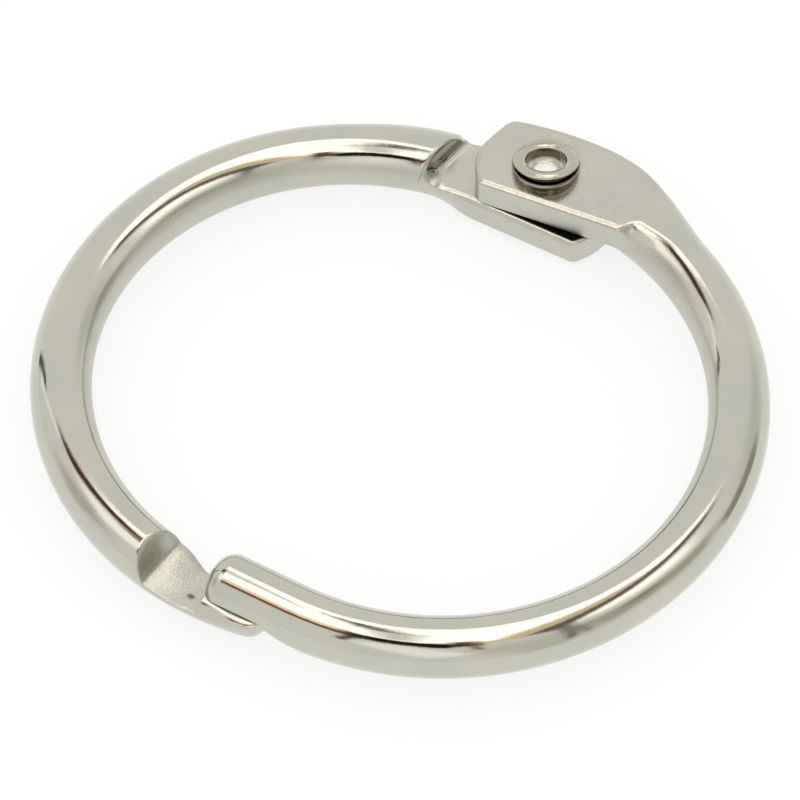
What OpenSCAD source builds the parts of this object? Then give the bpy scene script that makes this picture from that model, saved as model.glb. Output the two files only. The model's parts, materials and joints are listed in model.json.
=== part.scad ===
// Hinged binder ring: two half rings of round wire, riveted at one end and lapped at the other.
// It lies flat and shut. The hinge is at +Y, the clasp at -Y, and +Z is up, along the rivet.

/* [Wire] */
// Inside diameter that the left half is bent to
ring_id = 24.8; // [24.6:0.1:25.2]
// Diameter of the round wire
wire_d = 3.0; // [2.9:0.05:3.05]
// How much larger the right half's bend radius is than the left one's
right_spread = 0.4; // [0.3:0.05:0.5]

/* [Hinge] */
// Thickness of each pressed tab
tab_t = 1.6; // [1.5:0.05:1.65]
// Distance from the rivet's axis to the upper tab's inner edge
upper_inner = 2.26; // [2.2:0.02:2.5]
// Distance from the rivet's axis to the lower tab's inner edge
lower_inner = 2.62; // [2.5:0.02:2.7]
// Distance from the rivet's axis to the lower tab's outer edge
tab_outer = 2.2; // [2.1:0.05:2.3]
// How far the upper tab's outer edge stands out past the wire
tab_bulge = 0.72; // [0.6:0.02:0.8]
// Radius of the upper tab's end, about the rivet
upper_end_r = 3.45; // [3.3:0.05:3.5]
// Distance from the rivet's axis to the upper tab's flatter back corner
upper_back = 3.2; // [3.1:0.05:3.4]
// Radius of the lower tab's end, about the rivet
lower_end_r = 3.8; // [3.7:0.05:3.9]
// Distance from the rivet's axis to the step where the left wire is whole again
step_reach = 5.1; // [5.0:0.05:5.4]
// Distance from the rivet's axis to the foot of the right wire's sloping step
ramp_reach = 4.2; // [4.1:0.05:4.4]
// Angle from the X axis to the lower tab
lower_turn = 2.2; // [1.5:0.1:3]
// Angle from the X axis to the upper tab
upper_turn = 7; // [6:0.1:8]

/* [Rivet] */
// Radius of the hole through the rivet
bore_r = 1.0; // [0.9:0.05:1.1]
// Wall of the rivet's tube
tube_wall = 0.3; // [0.25:0.05:0.35]
// Radius of the upper, rolled head
head_r = 1.68; // [1.6:0.04:1.8]
// Height of the upper head
head_h = 0.22; // [0.2:0.02:0.3]
// Height of the lip below the upper head
lip_h = 0.24; // [0.2:0.02:0.26]
// How far the upper head leans
head_tilt = 15; // [0:1:16]
// Radius of the lower head
foot_r = 2.1; // [1.8:0.05:2.2]
// Height of the lower head
foot_h = 0.42; // [0.3:0.02:0.44]
// Clearance around the tube in the upper tab
tube_gap = 0.05; // [0.03:0.01:0.08]
// Clearance between faces that slide over each other
lap_gap = 0.04; // [0.03:0.01:0.06]

/* [Clasp] */
// Height of the lapped faces above the middle of the left wire
lap_z = 0.38; // [0.34:0.02:0.42]
// Length of the left half's tooth
tooth_len = 3.05; // [2.9:0.05:3.1]
// Length of the floor of the notch behind the tooth
notch_len = 2.85; // [2.7:0.05:2.9]
// Depth of the notch below the middle of the wire
notch_depth = 0.38; // [0.3:0.02:0.5]
// Length of the straight stretch at the end of the right half
straight_len = 4.26; // [4.1:0.02:4.4]
// Length of the right half's tongue
tongue_len = 3.5; // [3.4:0.05:3.6]
// Radius of the rounded corners at both tips
tip_r = 0.9; // [0.7:0.1:1.1]

/* [Hidden] */
$fn = 96;
hull_fn = 32;
slice = 0.05;
sink = 0.02;
room = 10;

wire_r = wire_d / 2;
left_r = (ring_id + wire_d) / 2;
right_r = left_r + right_spread;

// Centres of the two bends, measured from the rivet's axis
left_centre = [-2.39, -15.05];
right_centre = [2.165, -13.99];

// Heights above the middle of the left wire
lower_top = tab_t - wire_r;
upper_low = lower_top + lap_gap;
upper_top = upper_low + tab_t;
right_z = upper_top - wire_r;
head_edge = head_h / 2;
head_z = upper_top + lap_gap + (head_r - head_edge) * sin(head_tilt) + head_edge * (1 - cos(head_tilt));
foot_z = -wire_r - foot_h;
tube_r = bore_r + tube_wall;
tongue_low = lap_z + lap_gap;

// Angles about each bend's centre: the hinge is near 90 degrees, the clasp near 270
left_root = 96;
left_tip = 284.6;
tooth_root = left_tip - tooth_len / left_r * 180 / PI;
right_root = 82;
right_end = -90;
// The upper head leans up towards this direction
tilt_to = -60;
// The upper tab's back corner faces this direction
back_turn = 168;

// The notch in the left half: how far its end wall leans, and how far its floor leans inwards
wall_run = 0.75;
floor_lean = 10;
// The ramp under the right half's tongue
ramp_len = 3.9;
ramp_lip = 0.18;

// The lower tab narrows from here to the wire
lower_root = 3.4;
lower_neck = 1.25;
lower_shoulder = 0.8;
step_width = 3.0;
// The upper tab narrows from its root to a shoulder on the wire, and ends further along it
upper_root = 3.0;
shoulder_a = 76;
shoulder_in = 12.72;
shoulder_out = 15.95;
shoulder_t = 0.9;
neck_end_a = 66;

// The origin is the middle of the object's box, on the level of its lowest point
x_low = left_centre[0] - left_r - wire_r;
x_high = right_centre[0] + right_r + wire_r;
y_low = left_centre[1] - left_r - wire_r;
y_high = right_centre[1] + right_r + wire_r + tab_bulge;
rivet_at = [-(x_low + x_high) / 2, -(y_low + y_high) / 2, -foot_z];

// A round wire bent about Z, between two angles
module bent_wire(r, from_a, to_a) {
    rotate([0, 0, from_a])
        rotate_extrude(angle = to_a - from_a)
            translate([r, 0]) circle(d = wire_d);
}

// A thin slice of the wire at an angle of its bend, as the end of a blend
module wire_slice(r, a) {
    rotate([0, 0, a]) translate([r, 0, 0]) rotate([90, 0, 0])
        cylinder(d = wire_d - 2 * sink, h = slice, center = true, $fn = hull_fn);
}

// Cuts away what lies past a tip at x = 0, leaving a blunt end with rounded corners
module tip_cut() {
    side = wire_r - tip_r;
    difference() {
        translate([-tip_r, -room / 2, -room / 2]) cube([room / 2, room, room]);
        translate([-room, -side, -room / 2]) cube([room, 2 * side, room]);
        for (y = [-side, side])
            translate([-tip_r, y, -room / 2]) cylinder(r = tip_r, h = room);
    }
}

// Extrudes an outline, given along the wire and up, across the wire
module across(width = room) {
    rotate([90, 0, 0]) translate([0, 0, -width / 2]) linear_extrude(width) children();
}

// Puts its children on the left bend at an angle, with X along the wire towards the tip
module on_left(a) {
    translate([left_centre[0], left_centre[1], 0])
        rotate([0, 0, a]) translate([left_r, 0, 0]) rotate([0, 0, 90]) children();
}

module lower_tab_outline() {
    intersection() {
        polygon([
            [-lower_root, -lower_inner], [room, -lower_inner], [room, tab_outer],
            [-lower_shoulder, tab_outer], [-lower_root, lower_neck]
        ]);
        union() {
            circle(r = lower_end_r);
            translate([-room, -room / 2]) square(room);
        }
    }
}

module lower_tab() {
    rotate([0, 0, lower_turn]) translate([0, 0, -wire_r + sink])
        linear_extrude(tab_t) lower_tab_outline();
}

// The pressed neck between the left wire's step and the lower tab
module lower_neck() {
    hull() {
        translate([-step_reach, -lower_inner, -wire_r / 2]) cube([slice, step_width, wire_r]);
        rotate([0, 0, lower_turn])
            translate([-lower_root, -lower_inner, -wire_r + sink])
                cube([slice, lower_inner + lower_neck, tab_t]);
    }
}

// What is cut away above the lower tab, as far as the step
module above_lower_tab() {
    translate([-step_reach, -room / 2, lower_top]) cube([room, room, room]);
}

// The notch and the flat top of the tooth, cut down into the left wire
module left_notch() {
    on_left(tooth_root) {
        rotate([floor_lean, 0, 0]) across()
            polygon([
                [-notch_len - wall_run * 2, wire_r * 2], [-notch_len, 0],
                [-notch_len / 3, -notch_depth], [-tooth_len / 10, -notch_depth],
                [tooth_len / 20, wire_r * 2]
            ]);
        translate([-notch_len / 2, -room / 2, lap_z]) cube([room / 2, room, room / 2]);
    }
}

module left_half() {
    color("silver") translate(rivet_at) difference() {
        union() {
            translate([left_centre[0], left_centre[1], 0])
                bent_wire(left_r, left_root, left_tip + 2);
            lower_neck();
            lower_tab();
        }
        above_lower_tab();
        left_notch();
        on_left(left_tip) tip_cut();
        translate([0, 0, -room / 2]) cylinder(r = tube_r, h = room);
    }
}

module upper_tab_outline() {
    intersection() {
        translate(right_centre) circle(r = right_r + wire_r + tab_bulge, $fn = 2 * $fn);
        rotate([0, 0, upper_turn])
            translate([-room, -upper_inner]) square([room + upper_root, room]);
        union() {
            circle(r = upper_end_r);
            translate([0, -room / 2]) square(room);
        }
    }
}

module upper_tab() {
    translate([0, 0, upper_low]) linear_extrude(tab_t - sink) intersection() {
        upper_tab_outline();
        rotate([0, 0, back_turn]) translate([upper_back - 2 * room, -room]) square(2 * room);
    }
}

// The wire with a flat, wider top, where the upper tab's edges meet it
module upper_shoulder() {
    translate([right_centre[0], right_centre[1], right_z]) {
        wire_slice(right_r, shoulder_a);
        rotate([0, 0, shoulder_a]) translate([shoulder_in, 0, wire_r - sink - shoulder_t])
            cube([shoulder_out - shoulder_in, slice, shoulder_t]);
    }
}

// The blend from the upper tab to the round wire
module upper_neck() {
    hull() {
        translate([0, 0, upper_low]) linear_extrude(tab_t - sink) intersection() {
            upper_tab_outline();
            rotate([0, 0, upper_turn])
                translate([upper_root - slice, -room / 2]) square([slice, room]);
        }
        upper_shoulder();
    }
    hull() {
        upper_shoulder();
        translate([right_centre[0], right_centre[1], right_z]) wire_slice(right_r, neck_end_a);
    }
}

// What is cut away below the upper tab, so that the lower tab can turn there
module under_upper_tab() {
    rotate([0, 0, upper_turn]) across(2 * room)
        polygon([
            [-room, upper_low], [ramp_reach, upper_low],
            [ramp_reach + wire_r, upper_low - wire_r], [ramp_reach + wire_r, -room], [-room, -room]
        ]);
}

// What is cut away below the right half's tongue, with X towards the tip
module under_tongue() {
    across()
        polygon([
            [room, tongue_low], [straight_len - tongue_len, tongue_low],
            [straight_len - tongue_len, tongue_low - ramp_lip],
            [straight_len - tongue_len - ramp_len, right_z - wire_r - sink],
            [straight_len - tongue_len - ramp_len, -room], [room, -room]
        ]);
}

module right_half() {
    color("gainsboro") translate(rivet_at) difference() {
        union() {
            translate([right_centre[0], right_centre[1], right_z]) {
                bent_wire(right_r, right_end, right_root);
                translate([0, -right_r, 0]) rotate([0, -90, 0])
                    cylinder(d = wire_d, h = straight_len);
            }
            upper_neck();
            upper_tab();
        }
        under_upper_tab();
        translate([right_centre[0], right_centre[1] - right_r, 0]) rotate([0, 0, 180]) {
            under_tongue();
            translate([straight_len, 0, 0]) tip_cut();
        }
        translate([0, 0, -room / 2]) cylinder(r = tube_r + tube_gap, h = room);
    }
}

// A ring-shaped head, from z = 0 up, with round edges
module head(r, h) {
    rotate_extrude() {
        translate([bore_r, 0]) square([r - bore_r - h / 2, h]);
        translate([r - h / 2, h / 2]) circle(r = h / 2);
    }
}

module hinge_rivet() {
    color("darkgray") translate(rivet_at) difference() {
        union() {
            translate([0, 0, foot_z]) head(foot_r, foot_h);
            translate([0, 0, foot_z]) cylinder(r = tube_r, h = head_z + head_edge - foot_z);
            translate([0, 0, upper_top + lap_gap]) head(head_r, lip_h);
            translate([0, 0, head_z]) rotate([0, 0, tilt_to]) rotate([0, -head_tilt, 0])
                head(head_r, head_h);
        }
        translate([0, 0, foot_z - room / 2]) cylinder(r = bore_r, h = 2 * room);
    }
}

left_half();
right_half();
hinge_rivet();
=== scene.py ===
import json
import math

import bmesh
import bpy
import numpy as np
from bpy.props import FloatProperty, FloatVectorProperty, PointerProperty, StringProperty
from mathutils import Matrix, Vector


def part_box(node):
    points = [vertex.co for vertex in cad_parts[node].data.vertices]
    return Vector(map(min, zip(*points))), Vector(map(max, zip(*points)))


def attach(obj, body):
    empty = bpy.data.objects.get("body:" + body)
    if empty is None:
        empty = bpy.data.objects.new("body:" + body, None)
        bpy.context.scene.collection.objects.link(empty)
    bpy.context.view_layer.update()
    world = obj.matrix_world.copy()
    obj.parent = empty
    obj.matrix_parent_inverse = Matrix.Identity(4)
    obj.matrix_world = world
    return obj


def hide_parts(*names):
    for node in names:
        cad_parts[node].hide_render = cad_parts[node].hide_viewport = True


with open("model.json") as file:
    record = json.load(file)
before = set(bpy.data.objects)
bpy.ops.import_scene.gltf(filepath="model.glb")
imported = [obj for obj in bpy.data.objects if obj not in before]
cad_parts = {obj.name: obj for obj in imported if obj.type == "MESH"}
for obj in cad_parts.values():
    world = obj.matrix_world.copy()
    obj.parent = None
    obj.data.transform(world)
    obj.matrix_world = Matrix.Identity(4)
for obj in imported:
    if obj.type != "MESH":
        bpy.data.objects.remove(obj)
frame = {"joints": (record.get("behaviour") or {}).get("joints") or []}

bl_info = {
    "name": "Hinged binder ring",
    "version": (1, 0, 0),
    "blender": (4, 5, 0),
    "location": "3D View > Sidebar > Binder ring",
    "description": "A nickel-plated binder ring of two hinged half rings, with its rivet and a studio",
    "category": "Add Mesh",
}

MM = 0.001
# Radius of the light tent around the ring, and the camera's distance, in metres
TENT_R, CAMERA_AWAY = 0.18, 0.4
# Size of the floor, and how far it lies below the ring
FLOOR_SIZE, FLOOR_DROP = 1.2, 0.00001

# ---------------------------------------------------------------- places taken from the frame

left_low, left_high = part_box("left_half")
right_low, right_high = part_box("right_half")
rivet_low, rivet_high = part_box("hinge_rivet")
hinge_at = frame["joints"][0]["pos_m"]

# Shapes are worked out in millimetres from the hinge's axis, level with the left wire's middle
ORIGIN = np.array([hinge_at[0], hinge_at[1], (left_low.z + left_high.z) / 2])
WIRE_D = (left_high.z - left_low.z) / MM
WIRE_R = WIRE_D / 2


def from_hinge(corner):
    """A corner of the frame's boxes in millimetres from the hinge."""
    return (np.array(corner) - ORIGIN) / MM


LEFT_LOW, RIGHT_LOW, RIGHT_HIGH = (from_hinge(c) for c in (left_low, right_low, right_high))
FOOT_Z, HEAD_Z = from_hinge(rivet_low)[2], from_hinge(rivet_high)[2]
TOP_Z = RIGHT_HIGH[2]
RIGHT_Z = TOP_Z - WIRE_R


# ---------------------------------------------------------------- settings

def length(name, description, default, low=0.0, high=None):
    """A length in millimetres, kept in metres."""
    high = high if high is not None else default * 3
    return FloatProperty(
        name=name, description=description, default=default * MM,
        min=low * MM, max=high * MM, subtype="DISTANCE", unit="LENGTH", precision=5,
    )


def linear(code):
    """An sRGB hex colour as linear red, green and blue."""
    parts = [int(code[i:i + 2], 16) / 255 for i in (1, 3, 5)]
    return tuple(p / 12.92 if p <= 0.04045 else ((p + 0.055) / 1.055) ** 2.4 for p in parts)


def colour(name, description, code):
    """A colour, given as sRGB hex."""
    return FloatVectorProperty(
        name=name, description=description, default=linear(code),
        min=0, max=1, size=3, subtype="COLOR",
    )


class RingSizes(bpy.types.PropertyGroup):
    """Sizes of the two half rings."""
    left_bend: length("Left bend", "Radius that the left wire's middle is bent to", 13.9)
    right_bend: length("Right bend", "Radius that the right wire's middle is bent to", 14.3)
    straight: length("Straight end", "Straight stretch at the end of the right half", 4.26)
    tongue: length("Tongue", "Length of the right half's thinned tongue", 3.5)
    tab: length("Tab thickness", "Thickness of each pressed tab", 1.6)
    lap: length("Lap", "Height of the lapped faces above the left wire's middle", 0.38)
    gap: length("Lap gap", "Clearance between the faces that slide over each other", 0.04)
    tooth: length("Tooth", "Length of the left half's tooth", 3.05)
    notch: length("Notch", "Length of the notch behind the tooth", 2.85)
    step: length("Step", "Distance from the hinge to the step in the left wire", 5.05)
    ramp: length("Ramp", "Distance from the hinge to the foot of the ramp under the upper tab", 4.2)
    edge: length("Pressed edge", "Depth of the rolled edge of the upper tab", 0.2)


class RivetSizes(bpy.types.PropertyGroup):
    """Sizes of the hollow rivet."""
    bore: length("Bore", "Radius of the hole through the rivet", 1.0)
    wall: length("Wall", "Wall of the rivet's tube", 0.3)
    head: length("Head", "Radius of the rolled upper head", 1.64)
    foot: length("Foot", "Radius of the lower head", 2.1)
    tilt: FloatProperty(
        name="Tilt", description="How far the upper head leans", default=math.radians(18),
        min=0, max=math.radians(20), subtype="ANGLE", unit="ROTATION",
    )


class RingFinish(bpy.types.PropertyGroup):
    """Colours of the plated metal, its stain and the floor."""
    nickel: colour("Nickel", "Bright nickel plate on the wire", "#BDBDB3")
    pressed: colour("Pressed nickel", "Plate on the pressed tabs", "#BBBAB0")
    bare: colour("Bare steel", "Sheared steel on cut faces", "#C8C7C0")
    rust: colour("Rust", "Stain in the notch", "#6E4A2C")
    rivet: colour("Rivet nickel", "Dull nickel plate on the rivet", "#BAB6A6")
    floor: colour("Floor", "Pale studio floor", "#F4F4F2")


def mm(value):
    """Metres as millimetres."""
    return value / MM


# ---------------------------------------------------------------- shape helpers

# Depth in or out of a form that isn't there, in millimetres
FAR = 9.0


def smooth(start, end, x):
    """0 before start, 1 after end, and an S-curve between them."""
    t = np.clip((x - start) / (end - start), 0, 1)
    return t * t * (3 - 2 * t)


def mix(a, b, t):
    """From a, where t is 0, to b, where t is 1."""
    return a + (b - a) * t


def both(a, b, r):
    """What lies inside both a and b, with a round edge of radius r."""
    return np.minimum(-r, np.maximum(a, b)) + np.hypot(np.maximum(a + r, 0), np.maximum(b + r, 0))


def either(a, b, r):
    """What lies inside a or b, with a hollow fillet of radius r."""
    return np.maximum(r, np.minimum(a, b)) - np.hypot(np.maximum(r - a, 0), np.maximum(r - b, 0))


def bar(u, w, u0, u1, w0, w1, in_low, in_top, out_low, out_top):
    """A rectangular section from u0 to u1 and w0 to w1, with a radius for each corner."""
    middle_u, middle_w = (u0 + u1) / 2, (w0 + w1) / 2
    r = np.where(
        u > middle_u, np.where(w > middle_w, out_top, out_low), np.where(w > middle_w, in_top, in_low)
    )
    over_u = np.abs(u - middle_u) - (u1 - u0) / 2 + r
    over_w = np.abs(w - middle_w) - (w1 - w0) / 2 + r
    inside = np.minimum(np.maximum(over_u, over_w), 0)
    return inside + np.hypot(np.maximum(over_u, 0), np.maximum(over_w, 0)) - r


def spaced(*marks):
    """Places along a line, with the gap between them given at each mark."""
    places, gaps = zip(*marks)
    out = [places[0]]
    while out[-1] < places[-1]:
        out.append(out[-1] + np.interp(out[-1], places, gaps))
    out[-1] = places[-1]
    return np.array(out)


def turned(x, y, angle):
    """Coordinates in axes turned by an angle."""
    c, s = math.cos(math.radians(angle)), math.sin(math.radians(angle))
    return x * c + y * s, y * c - x * s


def guide_angles(left, right, low, high, corner=20, side=28):
    """Ray angles that gather at the corners of each station's box."""
    halves = np.minimum(np.minimum(right, left), np.minimum(high, low)) * 0.6
    points = []
    quarter = np.linspace(0, math.pi / 2, corner, endpoint=False)
    signs = ((1, 1, right, high), (-1, 1, left, high), (-1, -1, left, low), (1, -1, right, low))
    for index, (su, sw, reach_u, reach_w) in enumerate(signs):
        turn = index * math.pi / 2
        cu, cw = su * (reach_u - halves), sw * (reach_w - halves)
        for a in quarter + turn:
            points.append((cu + halves * math.cos(a), cw + halves * math.sin(a)))
        nu, nw, nr_u, nr_w = signs[(index + 1) % 4]
        du, dw = nu * (nr_u - halves), nw * (nr_w - halves)
        end = turn + math.pi / 2
        for t in np.linspace(0, 1, side, endpoint=False):
            points.append((
                mix(cu, du, t) + halves * math.cos(end), mix(cw, dw, t) + halves * math.sin(end)
            ))
    u, w = (np.stack([p[i] for p in points], 1) for i in (0, 1))
    return u, w


def blurred(values, places, width):
    """Values averaged along the line over a width."""
    weights = np.exp(-((places[:, None] - places[None, :]) / width) ** 2)
    steps = np.gradient(places)
    weights *= steps[None, :]
    return (weights @ values) / weights.sum(1)


def loft(solid, places, starts, sides, centre_w, blur=0.25, reach=4.6):
    """Rings of points where rays from each station's centre leave the solid."""
    lateral = np.linspace(-4.2, 4.2, 337)
    p = starts[:, None, :] + lateral[None, :, None] * sides[:, None, :]
    inside = solid(p[..., 0], p[..., 1], np.broadcast_to(centre_w[:, None], p.shape[:2])) < 0
    low = lateral[np.argmax(inside, 1)]
    high = lateral[len(lateral) - 1 - np.argmax(inside[:, ::-1], 1)]
    low, high = blurred(low, places, blur), blurred(high, places, blur)
    centre_u = (low + high) / 2
    centre = np.concatenate([starts + centre_u[:, None] * sides, centre_w[:, None]], 1)
    climb = np.linspace(-3, 3, 241)
    column = np.broadcast_to(centre[:, None, :], (len(places), len(climb), 3)).copy()
    column[..., 2] += climb
    inside = solid(column[..., 0], column[..., 1], column[..., 2]) < 0
    up = np.abs(climb[len(climb) - 1 - np.argmax(inside[:, ::-1], 1)])
    down = np.abs(climb[np.argmax(inside, 1)])
    half = np.maximum((high - low) / 2, 0.05)
    u, w = guide_angles(half, half, np.maximum(blurred(down, places, blur), 0.05),
                        np.maximum(blurred(up, places, blur), 0.05))
    size = np.hypot(u, w)
    u, w = u / size, w / size
    ray = np.concatenate([u[..., None] * sides[:, None, :], w[..., None]], 2)
    near, far = np.zeros(u.shape), np.full(u.shape, reach)
    alive = np.ones(u.shape, bool)
    for t in np.linspace(0, reach, 70)[1:]:
        q = centre[:, None, :] + ray * t
        outside = solid(q[..., 0], q[..., 1], q[..., 2]) > 0
        far = np.where(alive & outside, t, far)
        alive &= ~outside
        near = np.where(alive, t, near)
    for _ in range(22):
        middle = (near + far) / 2
        q = centre[:, None, :] + ray * middle[..., None]
        outside = solid(q[..., 0], q[..., 1], q[..., 2]) > 0
        far, near = np.where(outside, middle, far), np.where(outside, near, middle)
    rings = centre[:, None, :] + ray * near[..., None]
    return rings, centre


def filled_steps(rings, centre, places, gap=0.003, rows=10):
    """Extra rings across each upright face, where two stations nearly share a plane."""
    out_r, out_c = [rings[0]], [centre[0]]
    for i in range(1, len(places)):
        if places[i] - places[i - 1] < gap:
            for t in np.linspace(0, 1, rows + 2)[1:-1]:
                out_r.append(mix(rings[i - 1], rings[i], t))
                out_c.append(mix(centre[i - 1], centre[i], t))
        out_r.append(rings[i])
        out_c.append(centre[i])
    return np.array(out_r), np.array(out_c)


def lofted_mesh(name, rings, centre, cap_rows=6):
    """A closed mesh from rings, with small rings and a middle point on both ends."""
    shrink = np.linspace(1, 0, cap_rows + 1)[1:-1]
    first = [mix(centre[0], rings[0], t) for t in shrink[::-1]]
    last = [mix(centre[-1], rings[-1], t) for t in shrink]
    rows = np.concatenate([np.array(first), rings, np.array(last)])
    count, around = rows.shape[:2]
    bm = bmesh.new()
    verts = [bm.verts.new(p) for p in (rows.reshape(-1, 3) * MM + ORIGIN)]
    ends = [bm.verts.new(c * MM + ORIGIN) for c in (centre[0], centre[-1])]
    for i in range(count - 1):
        for j in range(around):
            k = (j + 1) % around
            a, b = i * around, (i + 1) * around
            bm.faces.new((verts[a + j], verts[b + j], verts[b + k], verts[a + k]))
    for j in range(around):
        k = (j + 1) % around
        b = (count - 1) * around
        bm.faces.new((ends[0], verts[j], verts[k]))
        bm.faces.new((ends[1], verts[b + k], verts[b + j]))
    bmesh.ops.remove_doubles(bm, verts=bm.verts, dist=0.0008 * MM)
    return finished(name, bm)


def finished(name, bm):
    """Turns a closed bmesh into a smooth-shaded mesh, with its faces outwards."""
    bmesh.ops.recalc_face_normals(bm, faces=bm.faces)
    for face in bm.faces:
        face.smooth = True
    mesh = bpy.data.meshes.new(name)
    bm.to_mesh(mesh)
    bm.free()
    return mesh


def add_piece(name, mesh):
    """Puts a mesh into the scene as an object."""
    piece = bpy.data.objects.new(name, mesh)
    bpy.context.scene.collection.objects.link(piece)
    return piece


def lathe(name, outline, segments=160):
    """A closed mesh turned about the hinge's axis from a closed outline of radii and heights."""
    bm = bmesh.new()
    rows = []
    for k in range(segments):
        a = 2 * math.pi * k / segments
        rows.append([bm.verts.new((r * math.cos(a), r * math.sin(a), z)) for r, z in outline])
    for k in range(segments):
        this, following = rows[k], rows[(k + 1) % segments]
        for i in range(len(outline)):
            j = (i + 1) % len(outline)
            bm.faces.new((this[i], following[i], following[j], this[j]))
    return finished(name, bm)


def round_hole(piece, radius):
    """Cuts the rivet's round hole through a tab."""
    bm = bmesh.new()
    bmesh.ops.create_cone(bm, cap_ends=True, segments=144, radius1=radius, radius2=radius, depth=8)
    mesh = finished("hole", bm)
    mesh.transform(frame_at())
    cutter = add_piece("hole_cutter", mesh)
    cut = piece.modifiers.new("hole", "BOOLEAN")
    cut.operation, cut.solver, cut.object = "DIFFERENCE", "EXACT", cutter
    depsgraph = bpy.context.evaluated_depsgraph_get()
    pierced = bpy.data.meshes.new_from_object(piece.evaluated_get(depsgraph))
    old = piece.data
    piece.modifiers.clear()
    piece.data = pierced
    bpy.data.meshes.remove(old)
    pierced.name = piece.name
    bpy.data.objects.remove(cutter)
    bpy.data.meshes.remove(mesh)


def frame_at():
    """From millimetres about the hinge to the row frame."""
    return Matrix.Translation(Vector(ORIGIN)) @ Matrix.Scale(MM, 4)


def points_of(mesh):
    """The mesh's points, in millimetres from the hinge."""
    co = np.zeros(len(mesh.vertices) * 3, np.float32)
    mesh.vertices.foreach_get("co", co)
    return (co.reshape(-1, 3).astype(float) - ORIGIN) / MM


def mark(mesh, name, values):
    """Stores how much of a finish each point has."""
    attribute = mesh.attributes.new(name, "FLOAT", "POINT")
    attribute.data.foreach_set("value", np.asarray(values, np.float32))


def mark_drawn(mesh, u, w, along):
    """Stores places in millimetres across and along the wire, squeezed along it for its lines."""
    attribute = mesh.attributes.new("drawn", "FLOAT_VECTOR", "POINT")
    attribute.data.foreach_set("vector", np.stack([u, w, along / 16], 1).astype(np.float32).ravel())


# ---------------------------------------------------------------- materials

def add_node(tree, kind, inputs=(), **settings):
    """Adds a node with its settings. Each input is a value, a socket, or a node to take from."""
    node = tree.nodes.new("ShaderNode" + kind)
    for key, value in settings.items():
        setattr(node, key, value)
    for key, value in (inputs.items() if isinstance(inputs, dict) else enumerate(inputs)):
        if isinstance(value, bpy.types.Node):
            value = next(output for output in value.outputs if output.enabled)
        if isinstance(value, bpy.types.NodeSocket):
            tree.links.new(value, node.inputs[key])
        elif value is not None:
            node.inputs[key].default_value = value
    return node


# The Mix node's sockets for a factor and two colours
FACTOR, FIRST, SECOND = 0, 6, 7
# The finish that both halves share
WIRE_FINISH = "bright_nickel_plate_on_steel_wire"


def new_material(name):
    """An empty material, and its node tree."""
    material = bpy.data.materials.new(name)
    material.use_nodes = True
    material.node_tree.nodes.clear()
    return material, material.node_tree


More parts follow.
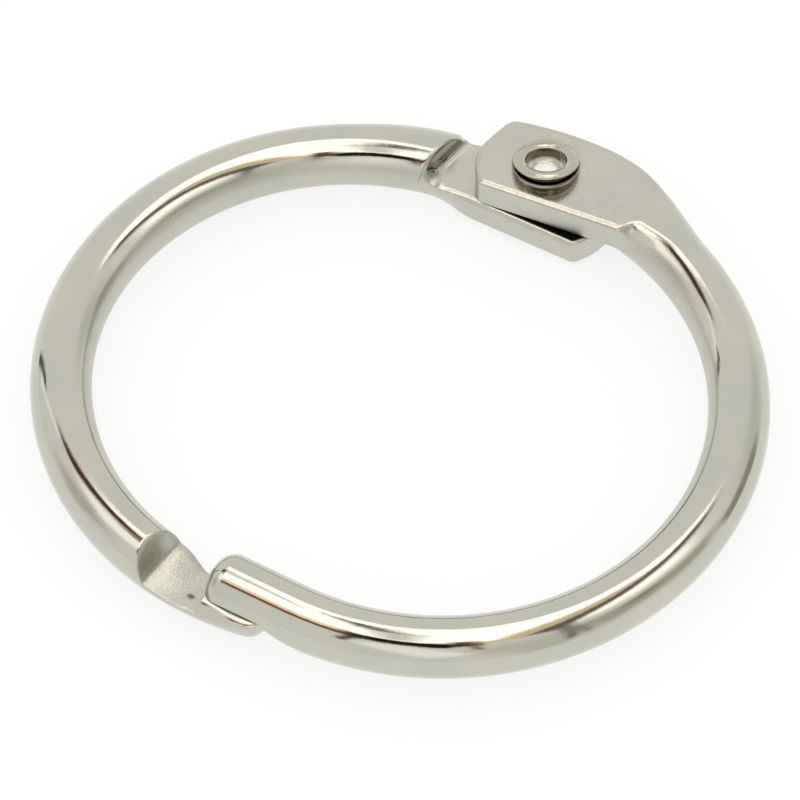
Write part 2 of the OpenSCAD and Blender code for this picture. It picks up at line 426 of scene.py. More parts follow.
def nickel_wire(finish):
    """Bright nickel plate over drawn steel wire: a warm grey mirror with faint lines along the wire
    and a slightly uneven surface. The pressed tabs are satin, sheared faces are dull and pitted,
    and painted shade makes the gap between the tabs near black."""
    material, tree = new_material(WIRE_FINISH)
    place = add_node(tree, "TexCoord").outputs["Object"]
    drawn = add_node(tree, "Attribute", attribute_name="drawn").outputs["Vector"]
    pressed, torn, rust, painted_gap_shade, rubbed = (
        add_node(tree, "Attribute", attribute_name=name).outputs["Fac"]
        for name in ("pressed", "torn", "rust", "painted_gap_shade", "rubbed")
    )
    grain = add_node(tree, "TexNoise", {"Vector": place, "Scale": 1 / (0.5 * MM), "Detail": 3.0})
    fine = add_node(tree, "TexNoise", {"Vector": place, "Scale": 1 / (0.09 * MM), "Detail": 4.0})
    broad = add_node(tree, "TexNoise", {"Vector": place, "Scale": 1 / (2.6 * MM), "Detail": 3.0})
    lines = add_node(tree, "TexNoise", {"Vector": drawn, "Scale": 1 / 0.16, "Detail": 3.0})
    pits = add_node(tree, "TexVoronoi", {"Vector": place, "Scale": 1 / (0.15 * MM)})

    base = add_node(tree, "Mix", {
        FACTOR: pressed, FIRST: (*finish.nickel, 1), SECOND: (*finish.pressed, 1)}, data_type="RGBA")
    cloud = add_node(tree, "MapRange", (broad, 0.35, 0.7, 0, 0.3))
    base = add_node(tree, "Mix", {
        FACTOR: cloud, FIRST: base, SECOND: (*linear("#D2CDBA"), 1)}, data_type="RGBA")
    speck = add_node(tree, "MapRange", (fine, 0.45, 0.62, 0, 1))
    worn = add_node(tree, "Math", (add_node(tree, "Math", (pressed, 0.18), operation="MULTIPLY"), torn),
                    operation="ADD")
    speck = add_node(tree, "Math", (speck, worn), operation="MULTIPLY")
    base = add_node(tree, "Mix", {
        FACTOR: speck, FIRST: base, SECOND: (*finish.bare, 1)}, data_type="RGBA")
    stain = add_node(tree, "Math", (rust, add_node(tree, "MapRange", (fine, 0.3, 0.5, 0.55, 1))),
                     operation="MULTIPLY")
    base = add_node(tree, "Mix", {
        FACTOR: stain, FIRST: base, SECOND: (*finish.rust, 1)}, data_type="RGBA")
    # Painted shade: near black in the gap between the tabs, where the upper tab hides the lower one
    base = add_node(tree, "Mix", {
        FACTOR: painted_gap_shade, FIRST: base, SECOND: (*linear("#17130F"), 1)}, data_type="RGBA")

    rough = add_node(tree, "MapRange", (grain, 0.3, 0.75, 0.045, 0.095))
    satin = add_node(tree, "MapRange", (fine, 0.3, 0.7, 0.12, 0.2))
    for share, more in ((pressed, satin), (torn, 0.22), (painted_gap_shade, 0.3), (rubbed, 0.3)):
        added = add_node(tree, "Math", (share, more), operation="MULTIPLY")
        rough = add_node(tree, "Math", (rough, added), operation="ADD")

    # Heights in units of the bump's distance, which is 6 thousandths of a millimetre
    texture = add_node(tree, "MapRange", (fine, 0, 1, -1, 1))
    relief = add_node(tree, "Math", (pressed, 0.55), operation="MULTIPLY")
    relief = add_node(tree, "Math", (torn, 1.6, relief), operation="MULTIPLY_ADD")
    height = add_node(tree, "Math", (texture, relief), operation="MULTIPLY")
    height = add_node(tree, "Math", (grain, 0.4, height), operation="MULTIPLY_ADD")
    height = add_node(tree, "Math", (lines, 0.35, height), operation="MULTIPLY_ADD")
    pitting = add_node(tree, "MapRange", {"Value": pits.outputs["Distance"], 1: 0, 2: 0.6, 3: -2.0, 4: 0})
    height = add_node(tree, "Math", (torn, pitting, height), operation="MULTIPLY_ADD")
    bump = add_node(tree, "Bump", {"Height": height, "Strength": 1.0, "Distance": 0.006 * MM})
    shader = add_node(tree, "BsdfPrincipled", {
        "Base Color": base, "Roughness": rough, "Normal": bump, "Metallic": 1.0})
    add_node(tree, "OutputMaterial", {"Surface": shader})
    return material


def nickel_rivet(finish):
    """Dull nickel plate over a hollow steel rivet: softer reflections, brown tarnish mixed with painted shade
    where the tube was rolled over, a painted highlight deep in the hole, and painted black shade under the
    flange and down the bore."""
    material, tree = new_material("dull_nickel_plate_on_steel_rivet")
    place = add_node(tree, "TexCoord").outputs["Object"]
    tarnish_and_shade, painted_glint, painted_gap_shade = (
        add_node(tree, "Attribute", attribute_name=name).outputs["Fac"]
        for name in ("tarnish_and_shade", "painted_glint", "painted_gap_shade")
    )
    fine = add_node(tree, "TexNoise", {"Vector": place, "Scale": 1 / (0.25 * MM), "Detail": 4.0})
    patch = add_node(tree, "Math", (tarnish_and_shade, add_node(tree, "MapRange", (fine, 0.3, 0.6, 0.55, 1))),
                     operation="MULTIPLY")
    base = (*finish.rivet, 1)
    # Brown tarnish mixed with painted shade, a painted highlight deep in the hole, and near black painted
    # shade in the gaps
    for share, tone in ((patch, linear("#4C3C2B")), (painted_glint, linear("#F4F2EC")), (painted_gap_shade, linear("#15110D"))):
        base = add_node(tree, "Mix", {FACTOR: share, FIRST: base, SECOND: (*tone, 1)}, data_type="RGBA")
    rough = add_node(tree, "MapRange", (fine, 0.3, 0.7, 0.06, 0.16))
    bump = add_node(tree, "Bump", {"Height": fine, "Strength": 1.0, "Distance": 0.01 * MM})
    shader = add_node(tree, "BsdfPrincipled", {
        "Base Color": base, "Roughness": rough, "Normal": bump, "Metallic": 1.0})
    add_node(tree, "OutputMaterial", {"Surface": shader})
    return material


# ---------------------------------------------------------------- left half

class LeftShape:
    """The left half: round wire, a lower tab at the hinge, and a notch and tooth at the clasp."""
    # Angle of the clasp's tip, about the bend's centre
    tip = 284.6
    # Radius of the lower tab's end and of its hole, about the rivet
    end_r, hole = 3.8, 1.3
    # The step's face leans by this much, and the wire swells by this much beside it
    lean, swell = 10.0, 0.35

    def __init__(self, sizes):
        self.r = mm(sizes.left_bend)
        self.centre = np.array([LEFT_LOW[0] + self.r + WIRE_R, LEFT_LOW[1] + self.r + WIRE_R])
        self.step = -mm(sizes.step)
        self.tab_top = mm(sizes.tab) - WIRE_R
        self.lap = mm(sizes.lap)
        self.tooth, self.notch = mm(sizes.tooth), mm(sizes.notch)
        self.tooth_root = self.tip - math.degrees(self.tooth / self.r)

    def polar(self, x, y):
        """Angle about the bend's centre, and distance out from the wire's middle line."""
        dx, dy = x - self.centre[0], y - self.centre[1]
        return 180 + np.degrees(np.arctan2(-dy, -dx)), np.hypot(dx, dy) - self.r

    def along(self, angle):
        """Millimetres past the tooth's root, towards the tip."""
        return np.radians(angle - self.tooth_root) * self.r

    def tab_in(self, x):
        """The tab's inner edge, in y."""
        return mix(-2.95, -2.58 + 0.02 * x, smooth(self.step - 0.3, self.step + 1.3, x))

    def tab_out(self, x):
        """The tab's outer edge, in y."""
        grown = 0.05 + 1.15 * smooth(self.step - 0.6, self.step + 2.3, x)
        return mix(grown, 2.2 + 0.038 * x, smooth(-3.9, -0.6, x))

    def floor(self, s, u):
        """Height of the notch's floor and walls and of the tooth's flat top."""
        lean = mix(-0.06, 0.24, smooth(-2.6, -0.7, s))
        level = mix(0.02, -0.42, smooth(-2.9, -0.8, s)) + lean * u
        wall = (-self.notch - s) / 0.54 + 0.05
        root = (s + 0.12) * 8.0 - 0.4
        past = np.maximum(u - 0.75 - 0.4 * smooth(0, 2.2, s), 0)
        flat = self.lap - 0.12 * smooth(-0.5, -1.5, u) - 0.9 * past ** 1.5
        deep = np.maximum(level, wall)
        return np.where(s < -0.6, deep, np.minimum(np.maximum(level, root), flat))

    def solid(self, x, y, z):
        """Below 0 inside the half, and above 0 outside it."""
        angle, u = self.polar(x, y)
        hinge = y > self.centre[1]
        swell = np.where(hinge, self.swell * smooth(122, 100, angle), 0)
        wire = np.hypot(np.where(u > 0, u * WIRE_R / (WIRE_R + swell), u), z) - WIRE_R
        s = self.along(angle)
        end = (angle - self.tip) * math.pi / 180 * self.r
        tip = both(wire, end, 0.9)
        cut = z - self.floor(s, u)
        notched = both(tip, np.where(s > -self.notch - 2.5, cut, -FAR), 0.12)
        c, n = math.cos(math.radians(self.lean)), math.sin(math.radians(self.lean))
        face = (x - self.step) * c - (y + 1) * n
        body = np.where(hinge, both(wire, face, 0.22), notched)
        pressed = bar(y, z, self.tab_in(x), self.tab_out(x), -WIRE_R, self.tab_top, 0.3, 0.32, 0.35, 0.16)
        pressed = both(pressed, np.where(x > 0, np.hypot(x, y) - self.end_r, -FAR), 0.12)
        under = both(wire, z - self.tab_top, 0.12)
        tab = mix(under, pressed, smooth(self.step - 0.3, self.step + 2.4, x))
        tab = both(tab, -0.6 - face, 0.2)
        side = mix(wire, bar(y, z, self.tab_in(x), self.tab_out(x), -WIRE_R, 3, 0.3, 0.3, 0.35, 0.16),
                   smooth(self.step - 0.3, self.step + 2.4, x))
        tab, side = (np.where(hinge, part, FAR) for part in (tab, side))
        # The foot of the step is hollow, but the wire's side runs straight into the tab's
        hollow = mix(0.4, 1.1, smooth(-1.3, -2.4, y)) * smooth(-0.1, 0, face) * smooth(-0.3, 0.1, z)
        return np.maximum(either(body, tab, hollow + 0.001), np.minimum(wire, side))

    def stations(self):
        """Places along the wire from the clasp's tip to the tab's end, with their planes."""
        total = math.radians(self.tip - 112) * self.r
        s = spaced((0, 0.008), (0.5, 0.06), (1.2, 0.08), (self.tooth - 0.6, 0.08),
                   (self.tooth - 0.2, 0.03), (self.tooth + 0.3, 0.03), (self.tooth + 0.6, 0.08),
                   (self.tooth + self.notch + 0.5, 0.06), (self.tooth + self.notch + 2.2, 0.06),
                   (self.tooth + self.notch + 4, 0.25), (total, 0.25))
        angle = self.tip - np.degrees(s / self.r)
        e = np.stack([np.cos(np.radians(angle)), np.sin(np.radians(angle))], 1)
        starts, sides = self.centre + self.r * e, e
        x0 = starts[-1, 0]
        xs = spaced((x0, 0.25), (self.step - 1.0, 0.15), (self.step - 0.3, 0.02), (self.step, 0.02))
        xs = np.concatenate([xs[1:-1], [self.step - 0.0006, self.step + 0.0006],
                             spaced((self.step + 0.02, 0.02), (self.step + 0.5, 0.05),
                                    (self.step + 1.2, 0.12), (2.6, 0.12), (3.4, 0.04), (3.72, 0.012),
                                    (3.797, 0.004))])
        a = np.clip((xs - self.centre[0]) / self.r, -1, 1)
        wire_y = self.centre[1] + self.r * np.sqrt(1 - a * a)
        tab_y = (self.tab_in(xs) + self.tab_out(xs)) / 2
        blend = smooth(self.step - 0.2, self.step + 2.0, xs)
        tip_pull = smooth(2.2, 3.8, xs)
        ys = mix(mix(wire_y, tab_y, blend), 0.0, tip_pull)
        radial = np.degrees(np.arctan2(wire_y - self.centre[1], xs - self.centre[0]))
        near = smooth(x0, self.step - 0.5, xs)
        lean = self.lean * smooth(self.step + 2.5, self.step + 0.5, xs)
        side = np.radians(mix(radial, 90 - lean, near))
        side = np.stack([np.cos(side), np.sin(side)], 1)
        # Each plane crosses y = -1 at its own x, as the leaning face does
        xs_at = xs + near * (ys + 1) * np.tan(np.radians(lean))
        starts = np.concatenate([starts, np.stack([xs_at, ys], 1)])
        sides = np.concatenate([sides, side])
        places = np.concatenate([s, s[-1] + xs - x0])
        notch = smooth(self.tooth + self.notch + 4.0, self.tooth + self.notch + 1.4, places)
        step_place = s[-1] + self.step - x0
        hinge = smooth(step_place - 3.0, step_place - 0.4, places)
        middle = -0.92 * notch * (1 - 0.45 * smooth(self.tooth - 0.2, 0.4, places))
        middle = middle - 0.62 * hinge
        return places, starts, sides, middle


def make_left(sizes):
    """The left half's mesh, with the places of its finishes."""
    shape = LeftShape(sizes)
    places, starts, sides, middle = shape.stations()
    rings, centre = loft(shape.solid, places, starts, sides, middle)
    rings, centre = filled_steps(rings, centre, places)
    mesh = lofted_mesh("left_half_ring", rings, centre)
    piece = add_piece("left_half_ring", mesh)
    round_hole(piece, shape.hole)
    p = points_of(piece.data)
    x, y, z = p.T
    angle, u = shape.polar(x, y)
    s = shape.along(angle)
    hinge = y > shape.centre[1]
    tab = hinge * smooth(shape.step - 0.02, shape.step + 0.25, x)
    floor = (~hinge) * smooth(-shape.notch - 0.3, -shape.notch + 0.1, s) * smooth(0.1, -0.1, s)
    floor = floor * (z < shape.floor(s, u) + 0.05) * (z > shape.floor(s, u) - 0.15)
    wall = (~hinge) * smooth(-shape.notch + 0.3, -shape.notch - 0.1, s) * (s > -shape.notch - 1.3)
    wall = wall * smooth(0.08, 0.03, np.abs(z - shape.floor(s, u)))
    end = hinge * smooth(3.6, 3.72, np.hypot(x, y)) * (x > 0)
    mark(piece.data, "pressed", np.clip(tab + 0.6 * floor + wall, 0, 1))
    mark(piece.data, "torn", np.clip(0.8 * floor + 0.35 * end, 0, 1))
    spot = np.hypot(s + 0.75, (u - 0.55) * 1.3)
    mark(piece.data, "rust", floor * smooth(0.3, 0.08, spot))
    # Painted shade, near black, lies on the lower tab's top, just behind its front edge, where the upper tab
    # hides it
    inside = y - shape.tab_in(x)
    top = hinge * smooth(shape.tab_top - 0.05, shape.tab_top - 0.005, z)
    front = smooth(0.16, 0.26, inside) * smooth(-1.75, -1.3, x) * smooth(3.68, 3.6, np.hypot(x, y))
    mark(piece.data, "painted_gap_shade", top * front * smooth(1.5, 1.0, inside))
    mark(piece.data, "rubbed", smooth(0.6, 0.88, -u / WIRE_R) * (1 - tab))
    mark_drawn(piece.data, u, z, np.radians(angle) * shape.r)
    return piece


# ---------------------------------------------------------------- right half

class RightShape:
    """The right half: round wire, an upper tab at the hinge, and a thinned tongue at the clasp."""
    # The tab's inner edge is turned by this angle, and lies this far from the rivet's axis
    turn, inner = 7.0, 2.26
    # Radius of the tab's end and of its hole, about the rivet, and where the tab starts on the bend
    end_r, hole, tab_from = 3.45, 1.35, 58
    # Length of the slope between the whole wire and the thinned tongue
    slope = 3.9
    # The end's flatter back corner faces this way, this far out
    back, back_reach = 166.0, 3.26

    def __init__(self, sizes):
        self.r = mm(sizes.right_bend)
        self.centre = np.array([RIGHT_HIGH[0] - self.r - WIRE_R, RIGHT_LOW[1] + self.r + WIRE_R])
        self.straight, self.tongue = mm(sizes.straight), mm(sizes.tongue)
        self.low = TOP_Z - mm(sizes.tab)
        self.bulge = RIGHT_HIGH[1] - self.centre[1] - self.r - WIRE_R
        self.tongue_low = mm(sizes.lap) + mm(sizes.gap)
        self.edge, self.ramp = mm(sizes.edge), mm(sizes.ramp)

    def polar(self, x, y):
        """Angle about the bend's centre, run on along the straight end, and distance out."""
        dx, dy = x - self.centre[0], y - self.centre[1]
        angle = np.degrees(np.arctan2(dy, dx))
        u = np.hypot(dx, dy) - self.r
        straight = (dx < 0) & (dy < 0)
        return np.where(straight, -90 + np.degrees(dx / self.r), angle), np.where(straight, -dy - self.r, u)

    def solid(self, x, y, z):
        """Below 0 inside the half, and above 0 outside it."""
        angle, u = self.polar(x, y)
        hinge = y > self.centre[1]
        wire = np.hypot(u, z - RIGHT_Z) - WIRE_R
        px, py = turned(x, y, self.turn)
        ramp = (self.ramp + self.low - px - z) / math.sqrt(2)
        ring = both(wire, np.where(hinge, ramp, -FAR), 0.15)
        # The pressed slab, whose edges round off into the wire at the shoulder
        front = either(-self.inner - py, -WIRE_R - u, 0.12)
        outer = u - WIRE_R - self.bulge * smooth(64, 90, angle)
        c, n = math.cos(math.radians(self.back)), math.sin(math.radians(self.back))
        end = both(np.hypot(x, y) - self.end_r, x * c + y * n - self.back_reach, 0.2)
        outline = both(outer, np.where(px < 0, end, -FAR), 0.35)
        outline = both(outline, front, 0.12)
        soft = mix(
            mix(WIRE_R, self.edge, smooth(75, 77.5, angle)), mix(WIRE_R, self.edge, smooth(64, 84, angle)),
            smooth(-0.5, 0.5, u),
        )
        wide = mix(1, 1.9, smooth(75, 78, angle))
        slab = both(both(outline / wide, z - TOP_Z, soft), self.low - z, 0.12)
        slab = np.where(hinge & (angle > self.tab_from), slab, FAR)
        fillet = 0.3 * smooth(66, 73, angle) * smooth(0.9, 0.3, z) + 0.001
        ring = either(ring, slab, fillet)
        # The tongue at the clasp
        t = self.centre[0] - x
        tip = both(ring, np.where(hinge, -FAR, t - self.straight), 0.9)
        lip = self.straight - self.tongue
        on_arc = x > self.centre[0]
        before_lip = np.where(on_arc, np.radians(angle + 90) * self.r, -t) + lip
        sunk = np.clip((self.slope - before_lip) / self.slope, 0, 1)
        floor = mix(RIGHT_Z - WIRE_R, self.tongue_low - 0.18, sunk)
        floor = np.where(on_arc, floor, mix(floor, self.tongue_low, np.clip((t - lip) / 0.02, 0, 1)))
        cut = np.where(hinge, -FAR, floor - z)
        return both(tip, cut, 0.1)

    def stations(self):
        """Places along the wire from the tongue's tip to the tab's end, with their planes."""
        axis = np.degrees(np.arctan2(-self.centre[1], -self.centre[0]))
        reach = np.hypot(*self.centre)
        last = axis + math.degrees(math.asin(self.end_r / reach))
        # The lip, where the tongue starts to be thinned, measured from its tip
        lip = self.tongue
        total = self.straight + math.radians(last + 90) * self.r - 0.004
        tab_start = self.straight + math.radians(self.tab_from + 2 + 90) * self.r
        s = spaced((0.0005, 0.008), (0.5, 0.06), (1.2, 0.09), (lip - 0.3, 0.09), (lip - 0.06, 0.02),
                   (lip + 0.06, 0.02), (lip + 0.3, 0.09), (lip + 5, 0.2), (lip + 8, 0.3),
                   (tab_start - 2, 0.3), (tab_start, 0.12), (total - 1.2, 0.12), (total - 0.5, 0.05),
                   (total - 0.15, 0.015), (total, 0.004))
        on_arc = s > self.straight
        angle = np.radians(-90 + np.degrees(np.maximum(s - self.straight, 0) / self.r))
        e = np.stack([np.cos(angle), np.sin(angle)], 1)
        starts = self.centre + self.r * e
        starts[~on_arc, 0] = self.centre[0] - self.straight + s[~on_arc]
        degrees = np.degrees(angle)
        tab = smooth(66, 80, degrees)
        tongue = smooth(lip + 4.2, lip + 0.2, s)
        middle = RIGHT_Z + 0.72 * tongue + (mix(RIGHT_Z, (self.low + TOP_Z) / 2, tab) - RIGHT_Z)
        return s, starts, e, middle


def make_right(sizes):
    """The right half's mesh, with the places of its finishes."""
    shape = RightShape(sizes)
    places, starts, sides, middle = shape.stations()
    rings, centre = loft(shape.solid, places, starts, sides, middle)
    mesh = lofted_mesh("right_half_ring", rings, centre)
    piece = add_piece("right_half_ring", mesh)
    round_hole(piece, shape.hole)
    p = points_of(piece.data)
    x, y, z = p.T
    angle, u = shape.polar(x, y)
    hinge = y > shape.centre[1]
    tab = hinge * smooth(68, 80, angle) * smooth(0.8, 1.7, z)
    mark(piece.data, "pressed", tab)
    # Painted shade, near black, on the upper tab's underside near the ramp, in the gap between the tabs
    under = hinge * smooth(shape.low + 0.04, shape.low, z)
    mark(piece.data, "painted_gap_shade", under * smooth(shape.ramp + 0.3, shape.ramp, np.hypot(x, y)))
    mark(piece.data, "rubbed", smooth(0.6, 0.88, -u / WIRE_R) * (1 - tab))
    mark_drawn(piece.data, u, z - RIGHT_Z, np.radians(angle) * shape.r)
    return piece


# ---------------------------------------------------------------- rivet

def arc(centre, radius, start, end, count=10):
    """Points of an arc in a radius and height plane, in degrees."""
    return [
        (centre[0] + radius * math.cos(math.radians(a)), centre[1] + radius * math.sin(math.radians(a)))
        for a in np.linspace(start, end, count)
    ]


def make_rivet(sizes):
    """A hollow rivet whose upper rim is rolled out crookedly: a thin flange leans over a lower lip."""
    bore, wall, head, foot = mm(sizes.bore), mm(sizes.wall), mm(sizes.head), mm(sizes.foot)
    tube, tilt = bore + wall, math.tan(sizes.tilt)
    # Heights at the middle, before the lean: the lip's top, the flange's underside and its top
    lip, under, top = TOP_Z + 0.26, TOP_Z + 0.36, TOP_Z + 0.53
    edge = (top - under) / 2
    outline = [(bore, z) for z in np.linspace(FOOT_Z + 0.25, top - 0.5, 16)]
    outline += [(bore, z) for z in np.linspace(top - 0.46, top - 0.1, 10)]
    outline += arc((bore + 0.1, top - 0.1), 0.1, 180, 90, 7)[1:]
    crown = np.linspace(0.1, 0.9, 9)
    outline += [(mix(bore + 0.1, head - edge, t), top + 0.09 * math.sin(math.pi * t)) for t in crown]
    outline += arc((head - edge, under + edge), edge, 90, -90, 13)
    outline += [(mix(head - edge, tube + 0.08, t), under) for t in (0.3, 0.6, 1)]
    outline += [(tube + 0.05, under - 0.03), (tube + 0.05, lip + 0.03)]
    outline += [(mix(tube + 0.08, head - 0.07, t), lip) for t in (0, 0.4, 0.7)]
    outline += arc((head - 0.04, lip - 0.07), 0.07, 90, 0, 8)
    outline += [(head + 0.03, z) for z in np.linspace(lip - 0.1, TOP_Z + 0.03, 7)]
    outline += [(head + 0.01, TOP_Z + 0.004), (tube + 0.1, TOP_Z + 0.004)]
    outline += [(tube, z) for z in np.linspace(TOP_Z - 0.05, -WIRE_R + 0.05, 10)]
    outline += [(tube + 0.02, -WIRE_R), (foot - 0.2, -WIRE_R)]
    outline += arc((foot - 0.2, (FOOT_Z - WIRE_R) / 2), (-WIRE_R - FOOT_Z) / 2, 90, -90, 10)[1:]
    outline += arc((bore + 0.25, FOOT_Z + 0.25), 0.25, -90, -180, 7)[:-1]
    mesh = lathe("hinge_rivet_hollow", outline)
    p = np.zeros(len(mesh.vertices) * 3, np.float32)
    mesh.vertices.foreach_get("co", p)
    p = p.reshape(-1, 3).astype(float)
    radius, z = np.hypot(p[:, 0], p[:, 1]), p[:, 2].copy()
    towards = np.array([math.cos(math.radians(-60)), math.sin(math.radians(-60))])
    front = p[:, :2] @ towards
    # Leaning shortens the flange, and its far side is folded down and drawn in
    shrink = smooth(lip, top, z) * (1 - math.cos(sizes.tilt) + 0.06 * (front < 0) * (radius > tube))
    p[:, :2] -= np.outer(front * shrink, towards)
    front = front * (1 - shrink)
    new_lip = TOP_Z + 0.25 * (1.06 + front / head)
    new_top = np.maximum(top + front * tilt, TOP_Z + 0.07)
    new_under = np.maximum(new_top - (top - under), new_lip + 0.004)
    new_top = np.maximum(new_top, new_under + 0.04)
    knots = np.array([TOP_Z, lip, under, top, top + 1])
    heights = np.stack([0 * front + TOP_Z, new_lip, new_under, new_top, new_top + 1], 1)
    index = np.clip(np.searchsorted(knots, z, "right") - 1, 0, 3)
    share = (z - knots[index]) / (knots[index + 1] - knots[index])
    rows = np.arange(len(z))
    p[:, 2] = np.where(z < TOP_Z, z, mix(heights[rows, index], heights[rows, index + 1], share))
    mesh.vertices.foreach_set("co", p.astype(np.float32).ravel())
    mesh.update()
    piece = add_piece("hinge_rivet_hollow", mesh)
    # Painted black shade between the flange and the lip and down the bore, and brown tarnish mixed with
    # painted shade round the hole, under the flange and on the lip
    spread = front / np.maximum(radius, 0.1)
    gap = smooth(lip - 0.06, lip + 0.02, z) * smooth(under + 0.05, under - 0.01, z) * (radius > bore + 0.05)
    side = smooth(head + 0.02, head + 0.03, radius) * smooth(lip - 0.09, lip - 0.11, z) * (z > TOP_Z)
    rim = smooth(under + 0.07, under + 0.02, z) * (z > under - 0.01) * (radius > tube + 0.2)
    inner, depth = radius < bore + 0.08, new_top - p[:, 2]
    mark(mesh, "painted_gap_shade", np.clip(gap * smooth(-0.5, -0.1, spread)
                                 + 0.75 * inner * smooth(0.35, 0.5, depth) * smooth(0.85, 0.7, depth), 0, 1))
    mark(mesh, "tarnish_and_shade", np.clip(side + 0.7 * rim + inner * smooth(0.03, 0.1, depth)
                                  * smooth(0.5, 0.35, depth), 0, 1))
    # Painted highlight: near white deep in the hole, on its far wall
    mark(mesh, "painted_glint", inner * smooth(0.75, 0.9, depth) * smooth(0.55, 0.85, -spread))
    mesh.transform(frame_at())
    return piece


# ---------------------------------------------------------------- operators

class RINGS_OT_left_half(bpy.types.Operator):
    """Builds the left half, with its lower tab, notch and tooth"""
    bl_idname = "binder_ring.left_half"
    bl_label = "Left half"

    def execute(self, context):
        piece = make_left(context.scene.ring_sizes)
        piece.data.materials.clear()
        piece.data.materials.append(plated(context))
        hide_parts("left_half")
        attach(piece, "fixed_half")
        return {"FINISHED"}


class RINGS_OT_right_half(bpy.types.Operator):
    """Builds the right half, with its upper tab and tongue"""
    bl_idname = "binder_ring.right_half"
    bl_label = "Right half"

    def execute(self, context):
        piece = make_right(context.scene.ring_sizes)
        piece.data.materials.clear()
        piece.data.materials.append(plated(context))
        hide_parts("right_half")
        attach(piece, "swinging_half")
        return {"FINISHED"}


class RINGS_OT_rivet(bpy.types.Operator):
    """Builds the hollow rivet that joins the halves"""
    bl_idname = "binder_ring.rivet"
    bl_label = "Rivet"

    def execute(self, context):
        piece = make_rivet(context.scene.rivet_sizes)
        piece.data.materials.append(nickel_rivet(context.scene.ring_finish))
        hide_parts("hinge_rivet")
        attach(piece, "fixed_half")
        return {"FINISHED"}


def plated(context):
    """The wire's plating, made once and shared by both halves."""
    return bpy.data.materials.get(WIRE_FINISH) or nickel_wire(context.scene.ring_finish)


# ---------------------------------------------------------------- stage

def add_card(tree, place, under, centre, half, turn, edge, level):
    """A soft-edged card in the surroundings: centre and half sizes are in degrees from the zenith."""
    at = add_node(tree, "Mapping", {
        "Vector": place, "Location": (*(math.radians(c) for c in centre), 0),
        "Rotation": (0, 0, math.radians(turn))}, vector_type="TEXTURE")
    axes = add_node(tree, "SeparateXYZ", [add_node(tree, "VectorMath", [at], operation="ABSOLUTE")])
    masks = [
        add_node(tree, "MapRange", (
            axes.outputs[i], math.radians(half[i] - edge), math.radians(half[i] + edge), 1, 0,
        ), interpolation_type="SMOOTHSTEP")
        for i in (0, 1)
    ]
    share = add_node(tree, "Math", masks, operation="MULTIPLY")
    return add_node(tree, "Mix", {FACTOR: share, FIRST: under, SECOND: (*level, 1)}, data_type="RGBA")


def studio_world():
    """A plain white room, which lights everything evenly."""
    world = bpy.data.worlds.new("plain_white_room")
    world.use_nodes = True
    ground = world.node_tree.nodes["Background"]
    ground.inputs["Color"].default_value = (1, 1, 1, 1)
    ground.inputs["Strength"].default_value = 1.0
    return world


# Each card in the light tent: centre and half sizes in degrees from the zenith, turn, edge, light
CARDS = (
    # The room beyond the window, and the window's lower, dimmer parts
    ((58, -38), (24, 14), 0, 12, (0.80, 0.80, 0.72)),
    ((40, 57), (20, 13), 0, 10, (0.80, 0.81, 0.74)),
    ((64, 5), (14, 26), 0, 8, (0.60, 0.59, 0.49)),
    ((58, 2), (9, 6), -10, 5, (0.42, 0.40, 0.31)),
    ((62, 51), (9, 16), 35, 5, (0.42, 0.41, 0.33)),
    ((46, 12), (8, 18), -8, 7, (1.15, 1.15, 1.1)),
    ((34, 9), (9, 15), -12, 6, (1.9, 1.9, 1.85)),
    # Pale reflectors near the horizon
    ((22, -53), (17, 10), -20, 5, (1.35, 1.35, 1.3)),
    ((-33, -19), (12, 11), 0, 6, (1.6, 1.58, 1.5)),
    ((-23.5, 15), (9, 2.4), 62, 2.2, (2.0, 1.95, 1.85)),
    ((-62, -35), (12, 12), 0, 7, (0.72, 0.70, 0.60)),
    # Dark gaps between the tent's cloths
    ((-26, -3), (4, 7), -10, 3, (0.55, 0.38, 0.28)),
    ((-34.5, 2.5), (11, 5), 14, 3, (0.12, 0.05, 0.035)),
    ((-79, 6.5), (17, 2), -8, 1.4, (0.13, 0.12, 0.10)),
    ((-64, 0), (15, 1.6), -4, 1.6, (1.3, 1.3, 1.25)),
    ((50, -19), (27, 2.3), -30, 2.2, (0.34, 0.33, 0.28)),
    ((62, -21), (14, 1.6), -20, 2, (0.42, 0.40, 0.35)),
    # The long soft box overhead, its tan edge and a fold of the cloth across it
    ((3, 2), (26, 16.5), -67, 2.2, (2.3, 2.25, 2.12)),
    ((-14, -14), (9, 13), 0, 2.5, (2.3, 2.25, 2.05)),
    ((0, -11), (3.5, 13), 22, 3, (1.0, 1.01, 0.95)),
    ((-9, 4.5), (8, 2.6), -60, 2.5, (0.26, 0.20, 0.18)),
    ((18, 0), (22, 3.4), -67, 2.5, (1.05, 0.80, 0.52)),
    ((23.5, 8), (24, 4.6), -68, 3, (0.22, 0.18, 0.16)),
    # What stands in front of it
    ((-13, -27), (9, 4), 0, 3, (1.5, 1.25, 0.95)),
    ((20, -23), (9, 2.8), -48, 2, (0.30, 0.12, 0.06)),
    ((31, -34.5), (7, 1.3), -45, 1.3, (0.30, 0.22, 0.18)),
    ((8, -27), (8, 2.5), 15, 2, (0.30, 0.20, 0.12)),
    ((9.5, -31.5), (13, 6), 9, 2.2, (0.02, 0.01, 0.008)),
    ((-12, -35.5), (11, 4), 0, 2.5, (0.32, 0.10, 0.045)),
    ((0.5, -46), (1.5, 13), 0, 1.2, (0.10, 0.04, 0.03)),
)


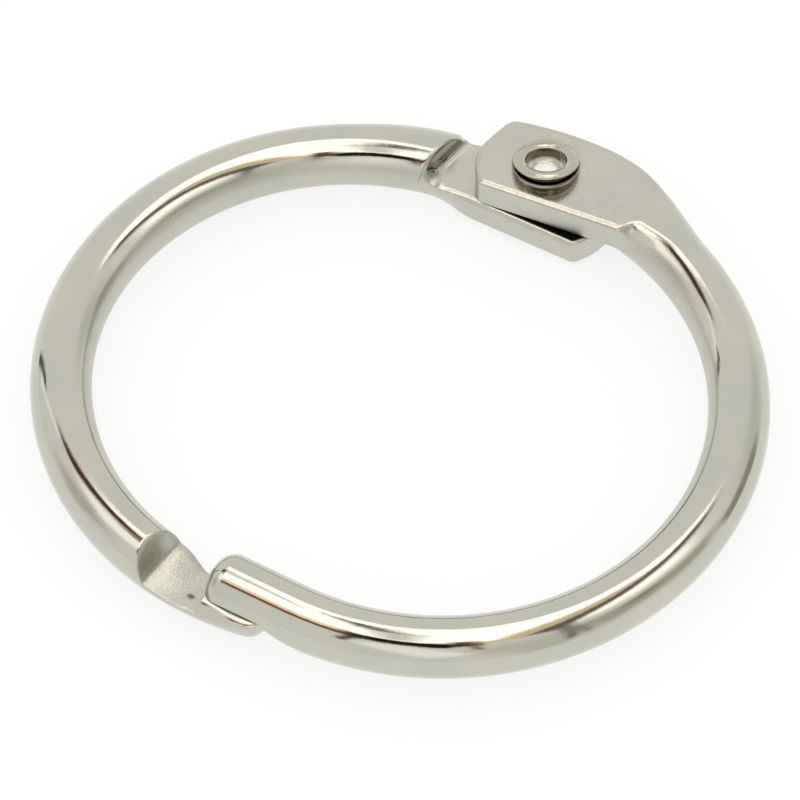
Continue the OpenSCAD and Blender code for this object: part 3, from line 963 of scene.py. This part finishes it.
def light_tent():
    """White nylon light tent: pale cloth all round, with a soft box and a few gaps that the
    polished metal mirrors. It glows for reflections alone, so the room lights everything else."""
    bm = bmesh.new()
    bmesh.ops.create_uvsphere(bm, u_segments=96, v_segments=48, radius=TENT_R)
    for face in bm.faces:
        face.smooth = True
        face.normal_flip()
    mesh = bpy.data.meshes.new("light_tent")
    bm.to_mesh(mesh)
    bm.free()
    tent = add_piece("light_tent", mesh)
    for ray in ("camera", "diffuse", "transmission", "volume_scatter", "shadow"):
        setattr(tent, "visible_" + ray, False)
    material, tree = new_material("white_nylon_light_tent")
    way = add_node(tree, "VectorMath", [add_node(tree, "TexCoord").outputs["Object"]], operation="NORMALIZE")
    x, y, z = add_node(tree, "SeparateXYZ", [way]).outputs
    zenith = add_node(tree, "Math", [z], operation="ARCCOSINE")
    level_way = add_node(tree, "CombineXYZ", (x, y, 0.0))
    level_length = add_node(tree, "VectorMath", [level_way], operation="LENGTH").outputs["Value"]
    stretch = add_node(tree, "Math", (zenith, level_length), operation="DIVIDE")
    place = add_node(tree, "VectorMath", {0: level_way, "Scale": stretch}, operation="SCALE")
    height = add_node(tree, "MapRange", (z, 0, 0.3, 0, 1))
    shade = add_node(tree, "Mix", {
        FACTOR: height, FIRST: (0.97, 0.97, 0.96, 1), SECOND: (0.99, 0.985, 0.97, 1)}, data_type="RGBA")
    for card in CARDS:
        shade = add_card(tree, place, shade, *card)
    glow = add_node(tree, "Emission", {"Color": shade, "Strength": 1.0})
    add_node(tree, "OutputMaterial", {"Surface": glow})
    mesh.materials.append(material)
    return tent


def studio_floor(finish):
    """Matt white laminate board: even and pale, with a soft shadow below the object."""
    material, tree = new_material("matt_white_laminate")
    path = add_node(tree, "LightPath")
    place = add_node(tree, "TexCoord").outputs["Object"]
    fibre = add_node(tree, "TexNoise", {"Vector": place, "Scale": 1 / (0.8 * MM), "Detail": 3.0})
    shade = add_node(tree, "MapRange", (fibre, 0.3, 0.7, 0, 0.05))
    base = add_node(tree, "Mix", {
        FACTOR: shade, FIRST: (*finish.floor, 1), SECOND: (0.8, 0.8, 0.79, 1)}, data_type="RGBA")
    board = add_node(tree, "BsdfDiffuse", {"Color": base})
    glow = add_node(tree, "Emission", {"Color": (1, 1, 1, 1), "Strength": 1.06})
    seen = add_node(tree, "Math", (path.outputs["Is Camera Ray"], 0.72), operation="MULTIPLY")
    for ray in ("Is Glossy Ray", "Is Transmission Ray"):
        mirrored = add_node(tree, "Math", (path.outputs[ray], 0.93), operation="MULTIPLY")
        seen = add_node(tree, "Math", (seen, mirrored), operation="MAXIMUM")
    mixed = add_node(tree, "MixShader", (seen, board, glow))
    add_node(tree, "OutputMaterial", {"Surface": mixed})
    return material


class RINGS_OT_stage(bpy.types.Operator):
    """Adds the floor, the room's light and the camera"""
    bl_idname = "binder_ring.stage"
    bl_label = "Floor, light and camera"

    def execute(self, context):
        scene = context.scene
        bm = bmesh.new()
        bmesh.ops.create_grid(bm, x_segments=8, y_segments=8, size=FLOOR_SIZE)
        mesh = bpy.data.meshes.new("floor")
        bm.to_mesh(mesh)
        bm.free()
        floor = add_piece("floor", mesh)
        floor.location.z = -FLOOR_DROP
        mesh.materials.append(studio_floor(scene.ring_finish))
        scene.world = studio_world()
        light_tent()
        scene.view_settings.view_transform = "Standard"
        camera = bpy.data.objects.new("camera", bpy.data.cameras.new("camera"))
        scene.collection.objects.link(camera)
        camera.data.lens, camera.data.sensor_width = 373.6, 36
        camera.data.shift_x, camera.data.shift_y = 0.00568, -0.01066
        camera.data.clip_start = 0.01
        side, height = math.radians(-60), math.radians(53.8)
        level = math.cos(height)
        away = Vector((math.cos(side) * level, math.sin(side) * level, math.sin(height)))
        target = Vector((-0.000262, -0.000458, 0.00192))
        camera.location = target + away * CAMERA_AWAY
        camera.rotation_euler = (target - camera.location).to_track_quat("-Z", "Y").to_euler()
        scene.camera = camera
        return {"FINISHED"}


class RINGS_PT_panel(bpy.types.Panel):
    """Lists the ring's pieces and settings"""
    bl_label = "Binder ring"
    bl_idname = "RINGS_PT_panel"
    bl_space_type = "VIEW_3D"
    bl_region_type = "UI"
    bl_category = "Binder ring"

    def draw(self, context):
        layout, scene = self.layout, context.scene
        for group in (scene.ring_sizes, scene.rivet_sizes, scene.ring_finish):
            box = layout.box()
            for key in group.__annotations__:
                box.prop(group, key)
        for operator in OPERATORS:
            layout.operator(operator.bl_idname)


OPERATORS = (RINGS_OT_left_half, RINGS_OT_right_half, RINGS_OT_rivet, RINGS_OT_stage)
CLASSES = (RingSizes, RivetSizes, RingFinish, *OPERATORS, RINGS_PT_panel)


def register():
    for cls in CLASSES:
        bpy.utils.register_class(cls)
    bpy.types.Scene.ring_sizes = PointerProperty(type=RingSizes)
    bpy.types.Scene.rivet_sizes = PointerProperty(type=RivetSizes)
    bpy.types.Scene.ring_finish = PointerProperty(type=RingFinish)


def unregister():
    del bpy.types.Scene.ring_sizes
    del bpy.types.Scene.rivet_sizes
    del bpy.types.Scene.ring_finish
    for cls in reversed(CLASSES):
        bpy.utils.unregister_class(cls)


def main():
    """Builds the ring and its stage."""
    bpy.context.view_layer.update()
    register()
    for name in ("left_half", "right_half", "rivet", "stage"):
        getattr(bpy.ops.binder_ring, name)()


if __name__ == "__main__":
    main()
